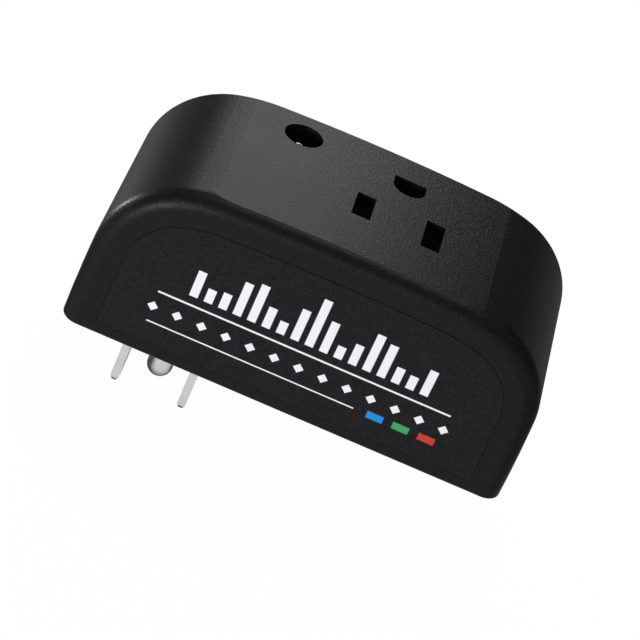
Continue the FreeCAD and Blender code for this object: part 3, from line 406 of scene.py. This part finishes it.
# Circuit board: glass epoxy with green solder mask over its copper tracks, on two posts and a
# peg of the base. The weave shows faintly, and the cut edges are bare.
def masked_board():
    """Green mask over rows of tracks, with bare woven glass at the edges. Sizes in millimetres."""
    edge, track_pitch, track_half, track_end = 0.12, 3.86, 1.1, 2.4
    cloth_size, weave_scale, depth = 0.0005, 700.0, 0.00003
    material, place = new_finish("board_mask", {"Coat Weight": 0.35, "Coat Roughness": 0.2})
    x, y = in_mm(place, "X"), in_mm(place, "Y")
    low, high = (corner * 1000 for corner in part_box("circuit_board"))
    field = stripe(x, low.x + edge, high.x - edge) * stripe(y, low.y + edge, high.y - edge)
    aside = in_step(x - low.x, track_pitch)[1]
    tracks = stripe(aside, -track_half, track_half, soft=0.06)
    tracks = tracks * stripe(y, low.y + track_end, high.y - track_end)
    weave = place.node(
        "ShaderNodeTexWave", {}, {"Vector": place, "Scale": weave_scale, "Distortion": 0.6})
    cloth = noise(place, cloth_size)
    mask = mix(tracks, (0.008, 0.075, 0.030, 1), (0.018, 0.140, 0.055, 1))
    bare_glass_and_tip_shade = mix(weave, (0.30, 0.33, 0.17, 1), (0.40, 0.42, 0.24, 1))
    connect(material, {
        "Base Color": mix(field, bare_glass_and_tip_shade, mask),
        "Roughness": 0.34 + cloth * 0.12 + (1 - field) * 0.3,
        "Normal": relief(tracks * 0.7 + cloth * 0.2 + weave * 0.1, depth),
    })
    return material


dress(masked_board(), "circuit_board")


# Solder joints: a bright fillet under the board round each lead, from a pad at the mask to a
# thin collar near the lead's cut end.
def lead_places():
    """Each lead's place, from its part's box, the leads' pitch in millimetres and their count."""
    along_y = (("bridge_rectifier", 3.86, 4), ("film_capacitor", 10.0, 2),
               ("led_resistor", 6.8, 2), ("led_diode", 5.6, 2))
    along_x = (("surge_varistor", 5.0, 2), ("bleed_resistor", 11.2, 2), ("indicator_led", 2.54, 2))
    places = []
    for parts, way in ((along_y, Vector((0, 1, 0))), (along_x, Vector((1, 0, 0)))):
        for name, pitch, count in parts:
            low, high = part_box(name)
            for lead in range(count):
                shift = (lead - (count - 1) / 2) * pitch / 1000
                places.append((low + high) / 2 + way * shift)
    return places


def solder_tree(material):
    """Node tree that hangs a flared fillet on each point, wide at its pad and narrow at its end."""
    rings, sides, flare_power = 7, 20, 2.4
    tree = bpy.data.node_groups.new("solder_fillets", "GeometryNodeTree")
    tree.interface.new_socket("Geometry", in_out="INPUT", socket_type="NodeSocketGeometry")
    for name in ("Height", "Pad Radius", "Collar Radius"):
        tree.interface.new_socket(name, in_out="INPUT", socket_type="NodeSocketFloat")
    tree.interface.new_socket("Geometry", in_out="OUTPUT", socket_type="NodeSocketGeometry")
    start = tree.nodes.new("NodeGroupInput")
    end = tree.nodes.new("NodeGroupOutput")
    drop = tree.nodes.new("ShaderNodeCombineXYZ")
    line = tree.nodes.new("GeometryNodeCurvePrimitiveLine")
    points = tree.nodes.new("GeometryNodeResampleCurve")
    points.inputs["Count"].default_value = rings
    share = tree.nodes.new("GeometryNodeSplineParameter")
    rest = tree.nodes.new("ShaderNodeMath")
    rest.operation = "SUBTRACT"
    rest.inputs[0].default_value = 1.0
    flare = tree.nodes.new("ShaderNodeMath")
    flare.operation = "POWER"
    flare.inputs[1].default_value = flare_power
    width = tree.nodes.new("ShaderNodeMapRange")
    circle = tree.nodes.new("GeometryNodeCurvePrimitiveCircle")
    circle.inputs["Resolution"].default_value = sides
    circle.inputs["Radius"].default_value = 1.0
    skin = tree.nodes.new("GeometryNodeCurveToMesh")
    skin.inputs["Fill Caps"].default_value = True
    stand = tree.nodes.new("GeometryNodeInstanceOnPoints")
    solid = tree.nodes.new("GeometryNodeRealizeInstances")
    coat = tree.nodes.new("GeometryNodeSetMaterial")
    coat.inputs["Material"].default_value = material
    for source, target in (
            (start.outputs["Height"], drop.inputs["Z"]),
            (drop.outputs["Vector"], line.inputs["End"]),
            (line.outputs["Curve"], points.inputs["Curve"]),
            (share.outputs["Factor"], rest.inputs[1]),
            (rest.outputs["Value"], flare.inputs[0]),
            (flare.outputs["Value"], width.inputs["Value"]),
            (start.outputs["Collar Radius"], width.inputs["To Min"]),
            (start.outputs["Pad Radius"], width.inputs["To Max"]),
            (points.outputs["Curve"], skin.inputs["Curve"]),
            (circle.outputs["Curve"], skin.inputs["Profile Curve"]),
            (width.outputs["Result"], skin.inputs["Scale"]),
            (start.outputs["Geometry"], stand.inputs["Points"]),
            (skin.outputs["Mesh"], stand.inputs["Instance"]),
            (stand.outputs["Instances"], solid.inputs["Geometry"]),
            (solid.outputs["Geometry"], coat.inputs["Geometry"]),
            (coat.outputs["Geometry"], end.inputs["Geometry"])):
        tree.links.new(source, target)
    return tree


def grow(name, points, tree, inputs):
    """Runs the tree on loose points and returns its result as a plain mesh object."""
    cloud = bpy.data.meshes.new(name + "_points")
    cloud.from_pydata([tuple(p) for p in points], [], [])
    seed = bpy.data.objects.new(name + "_points", cloud)
    bpy.context.scene.collection.objects.link(seed)
    modifier = seed.modifiers.new("grow", "NODES")
    modifier.node_group = tree
    for item in tree.interface.items_tree:
        if item.in_out == "INPUT" and item.name in inputs:
            modifier[item.identifier] = inputs[item.name]
    grown = seed.evaluated_get(bpy.context.evaluated_depsgraph_get())
    piece = bpy.data.objects.new(name, bpy.data.meshes.new_from_object(grown))
    bpy.data.objects.remove(seed)
    bpy.context.scene.collection.objects.link(piece)
    return piece


solder = metal(
    "solder", (0.66, 0.66, 0.64, 1), (0.54, 0.54, 0.53, 1),
    roughness=0.16, lines=even, line_size=0.0006, line_depth=0.00001)
board_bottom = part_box("circuit_board")[0].z
joint_points = [Vector((place.x, place.y, board_bottom)) for place in lead_places()]
fillets = grow("solder_joints", joint_points, solder_tree(solder),
               {"Height": -0.0006, "Pad Radius": 0.00082, "Collar Radius": 0.00048})
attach(fillets, "root")


# Rectifier, capacitor, varistor and diode: moulded and dipped bodies on tinned copper leads,
# soldered to the board. The leads' own finish shows below or beside each body.
def leaded(name, body, lead_mask, bump_size, bump_depth, roughness):
    """Body colour with tinned leads where the mask is 1, both on one node."""
    material, place = new_finish(name, {})
    x, y, z = (in_mm(place, letter) for letter in "XYZ")
    leads = lead_mask(x, y, z)
    skin = noise(place, bump_size, detail=3.0)
    colour = body(skin, x, y, z)
    connect(material, {
        "Base Color": mix(leads, colour, (0.66, 0.66, 0.64, 1)),
        "Metallic": leads,
        "Roughness": roughness + skin * 0.12,
        "Normal": relief(skin, bump_depth),
    })
    return material


def plain(dark, pale):
    """Body colour that wanders from dark to pale with the skin's unevenness."""
    return lambda skin, x, y, z: mix(skin, dark, pale)


def below_body(node, height):
    """Leads are all that lies lower than height millimetres under the node's top."""
    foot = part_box(node)[1].z * 1000 - height
    return lambda x, y, z: 1 - past(z, foot, soft=0.03)


def centre(node, axis):
    """The middle of the node's box along the axis, in millimetres."""
    low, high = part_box(node)
    return (low[axis] + high[axis]) / 2 * 1000


def beyond_body(node, length, axis):
    """Leads are all that lies further along the axis than the ends of an axial part's body."""
    middle = centre(node, axis)
    return lambda *place: past(abs(place[axis] - middle), length / 2, soft=0.03)


bridge_epoxy = leaded(
    "bridge_epoxy", plain((0.012, 0.012, 0.013, 1), (0.024, 0.024, 0.025, 1)),
    below_body("bridge_rectifier", 10.2), bump_size=0.0004, bump_depth=0.00003, roughness=0.42)
dress(bridge_epoxy, "bridge_rectifier")
film_box = leaded(
    "film_box", plain((0.62, 0.40, 0.05, 1), (0.74, 0.50, 0.08, 1)),
    below_body("film_capacitor", 11.0), bump_size=0.0010, bump_depth=0.00002, roughness=0.30)
dress(film_box, "film_capacitor")
varistor_dip = leaded(
    "varistor_dip", plain((0.020, 0.075, 0.270, 1), (0.035, 0.110, 0.360, 1)),
    below_body("surge_varistor", 7.0), bump_size=0.0016, bump_depth=0.00010, roughness=0.26)
dress(varistor_dip, "surge_varistor")


# Resistors and diode: small round bodies between two bent leads. The resistors have lacquered
# bodies with colour bands, and the diode's pale band marks its cathode.
def banded(node, axis, dark, pale, bands):
    """Lacquer with bands of (shift from the middle, width, colour) along the axis, in mm."""
    def colour(skin, *place):
        paint = mix(skin, dark, pale)
        for shift, width, tint in bands:
            middle = centre(node, axis) + shift
            ring = stripe(place[axis], middle - width / 2, middle + width / 2, soft=0.04)
            paint = mix(ring, paint, tint)
        return paint
    return colour


brown = (0.12, 0.045, 0.015, 1)
black = (0.010, 0.010, 0.010, 1)
orange = (0.75, 0.20, 0.02, 1)
gold = (0.50, 0.32, 0.08, 1)
silver = (0.55, 0.55, 0.52, 1)
bleed_bands = [(-3.0, 0.9, brown), (-1.3, 0.9, black), (0.4, 0.9, orange), (3.0, 0.9, gold)]
small_bands = [(-1.7, 0.5, brown), (-0.9, 0.5, black), (-0.1, 0.5, orange), (1.7, 0.5, gold)]
diode_bands = [(1.3, 0.6, silver)]
x_axis, y_axis = 0, 1
bleed_lacquer = leaded(
    "bleed_lacquer",
    banded("bleed_resistor", x_axis, (0.50, 0.40, 0.26, 1), (0.60, 0.50, 0.34, 1), bleed_bands),
    beyond_body("bleed_resistor", 9.4, x_axis),
    bump_size=0.0008, bump_depth=0.00003, roughness=0.34)
dress(bleed_lacquer, "bleed_resistor")
small_lacquer = leaded(
    "small_lacquer",
    banded("led_resistor", y_axis, (0.12, 0.32, 0.46, 1), (0.17, 0.40, 0.55, 1), small_bands),
    beyond_body("led_resistor", 5.2, y_axis),
    bump_size=0.0008, bump_depth=0.00003, roughness=0.34)
dress(small_lacquer, "led_resistor")
diode_epoxy = leaded(
    "diode_epoxy",
    banded("led_diode", y_axis, (0.010, 0.010, 0.011, 1), (0.020, 0.020, 0.021, 1), diode_bands),
    beyond_body("led_diode", 4.0, y_axis),
    bump_size=0.0005, bump_depth=0.00002, roughness=0.36)
dress(diode_epoxy, "led_diode")


# Indicator: a round lamp cast in clear epoxy, deep in the housing's sleeve on a nylon spacer.
# Its leads run through the spacer to the board, and it is dark here.
def clear_lamp():
    """Clear epoxy, with tinned leads from a little below the spacer's top."""
    swirl_size = 0.002
    material, place = new_finish("lamp_epoxy", {"Transmission Weight": 1.0, "IOR": 1.53})
    swirl = noise(place, swirl_size)
    connect(material, {
        "Base Color": mix(swirl, (0.80, 0.86, 0.80, 1), (0.90, 0.94, 0.90, 1)),
        "Roughness": 0.05 + swirl * 0.05,
    })
    spacer_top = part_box("led_spacer")[1].z * 1000
    leads = 1 - between(in_mm(place, "Z"), spacer_top - 0.05, spacer_top + 0.01)
    tinned = place.node(
        "ShaderNodeBsdfPrincipled", {},
        {"Base Color": (0.66, 0.66, 0.64, 1), "Metallic": 1.0, "Roughness": 0.28}, "BSDF")
    shader = Signal(place.tree, place.tree.nodes["Principled BSDF"].outputs["BSDF"])
    both = place.node("ShaderNodeMixShader", {}, {0: leads, 1: shader, 2: tinned})
    place.tree.links.new(both.socket, place.tree.nodes["Material Output"].inputs["Surface"])
    return material


dress(clear_lamp(), "indicator_led")
spacer_nylon = moulded(
    "spacer_nylon", (0.66, 0.65, 0.60, 1), (0.76, 0.75, 0.71, 1),
    sheen=0.5, grain_size=0.0008, grain_depth=0.00002)
dress(spacer_nylon, "led_spacer")


# Floor: a plain white sweep under the prongs' tips. It shows as the photograph's white ground and
# keeps a faint shadow of the object. Gloss shows it white in front, and painted shade makes it
# dark under, behind and to the right of the object, darkest near it.
def seen_directly(start):
    """Two masks: 1 for what the camera sees, and 1 for what gloss and clear things show."""
    rays = start.node("ShaderNodeLightPath", {}, {}).socket.node.outputs
    names = ("Is Camera Ray", "Is Glossy Ray", "Is Transmission Ray")
    camera_ray, glossy_ray, clear_ray = (Signal(start.tree, rays[name]) for name in names)
    return camera_ray, glossy_ray.maths("MAXIMUM", glossy_ray, clear_ray)


floor_reach = 3.0
floor_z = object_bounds()[0][2]
sweep = bpy.data.meshes.new("floor")
floor_corners = [
    (x * floor_reach, y * floor_reach, floor_z) for x, y in ((-1, -1), (1, -1), (1, 1), (-1, 1))]
sweep.from_pydata(floor_corners, [], [(0, 1, 2, 3)])
floor = bpy.data.objects.new("floor", sweep)
bpy.context.scene.collection.objects.link(floor)
floor_white, floor_place = new_finish(
    "floor_white", {"Base Color": (0.9, 0.9, 0.9, 1), "Roughness": 0.9})
lit = Signal(floor_place.tree, floor_place.tree.nodes["Principled BSDF"].outputs["BSDF"])
# Painted shade in gloss: dark under, behind and to the right of the object, darkest near it.
shade_slant, back_from, back_to, side_from, side_to = 0.4, 0.009, 0.015, 0.055, 0.085
aside = coordinate(floor_place, "X")
behind = coordinate(floor_place, "Y") - aside * shade_slant
at_back, at_side = between(behind, back_from, back_to), between(aside, side_from, side_to)
shade = behind.maths("MAXIMUM", at_back, at_side)
reach = floor_place.node(
    "ShaderNodeVectorMath", {"operation": "LENGTH"}, {"Vector": floor_place}, "Value")
near, far = 0.06, 0.13
dim = mix(between(reach, near, far), (0.04, 0.04, 0.045, 1), (0.22, 0.22, 0.23, 1))
gloss_tone_with_painted_shade = mix(shade, (0.82, 0.82, 0.82, 1), dim)
direct, mirrored = seen_directly(floor_place)
glow = floor_place.node(
    "ShaderNodeEmission", {}, {"Color": mix(mirrored, (1, 1, 1, 1), gloss_tone_with_painted_shade)})
white_share = direct.maths("MAXIMUM", direct * 0.98, mirrored * 0.95)
shown = floor_place.node("ShaderNodeMixShader", {}, {0: white_share, 1: lit, 2: glow})
floor_end = floor_place.tree.nodes["Material Output"]
floor_place.tree.links.new(shown.socket, floor_end.inputs["Surface"])
sweep.materials.append(floor_white)


# Light: soft boxes behind the crown for its sheen, overhead, low at the back left for the glint
# on the front edge, and at the front left for the label. The room is grey with a white front wall.
def softbox(name, place, aim, size, watts):
    """A square lamp at a place, turned to its aim, with its side in metres."""
    lamp = bpy.data.lights.new(name, "AREA")
    lamp.shape = "SQUARE"
    lamp.size = size
    lamp.energy = watts
    box = bpy.data.objects.new(name, lamp)
    box.location = place
    box.rotation_euler = (Vector(aim) - Vector(place)).to_track_quat("-Z", "Y").to_euler()
    bpy.context.scene.collection.objects.link(box)


softbox("crown_softbox", (-0.050, 0.28, 0.195), (-0.01, 0, 0.03), size=0.15, watts=0.345)
softbox("top_softbox", (0, 0.02, 0.64), (0, 0, 0.03), size=0.26, watts=1.4)
softbox("edge_softbox", (-0.370, 0.195, 0.012), (-0.035, -0.012, 0.02), size=0.055, watts=0.85)
softbox("key_softbox", (-0.30, -0.60, 0.075), (0, 0, 0.01), size=0.18, watts=2.7)

world = bpy.data.worlds.new("studio")
bpy.context.scene.world = world
world.use_nodes = True
sky = world.node_tree
direction = Signal(sky, sky.nodes.new("ShaderNodeTexCoord").outputs["Generated"])
wall_height, wall_fade, white_up_to, grey_from = 0.03, 0.14, -0.7, 0.1
horizon = 1 - between(coordinate(direction, "Z"), wall_height, wall_fade)
ahead = 1 - between(coordinate(direction, "Y"), white_up_to, grey_from)
wall = mix(ahead, (0.30, 0.30, 0.30, 1), (2.4, 2.4, 2.4, 1))
direct, mirrored = seen_directly(direction)
backdrop = mix(mirrored, (0.33, 0.33, 0.34, 1), mix(horizon, (0.03, 0.03, 0.035, 1), wall))
backdrop = mix(direct, backdrop, (1, 1, 1, 1))
sky.links.new(backdrop.socket, sky.nodes["Background"].inputs["Color"])


# Camera: the photograph's view, from the front and above at half a metre, turned so that the
# housing runs down to the right.
view = bpy.data.cameras.new("camera")
view.sensor_width = 36
view.lens = 145.483
view.clip_start = 0.01
camera = bpy.data.objects.new("camera", view)
camera.location = (-0.01808, -0.37597, 0.25307)
camera.rotation_euler = tuple(math.radians(turn) for turn in (54.3012, -20.5964, 11.2955))
bpy.context.scene.collection.objects.link(camera)
bpy.context.scene.camera = camera
bpy.context.scene.view_settings.view_transform = "Standard"
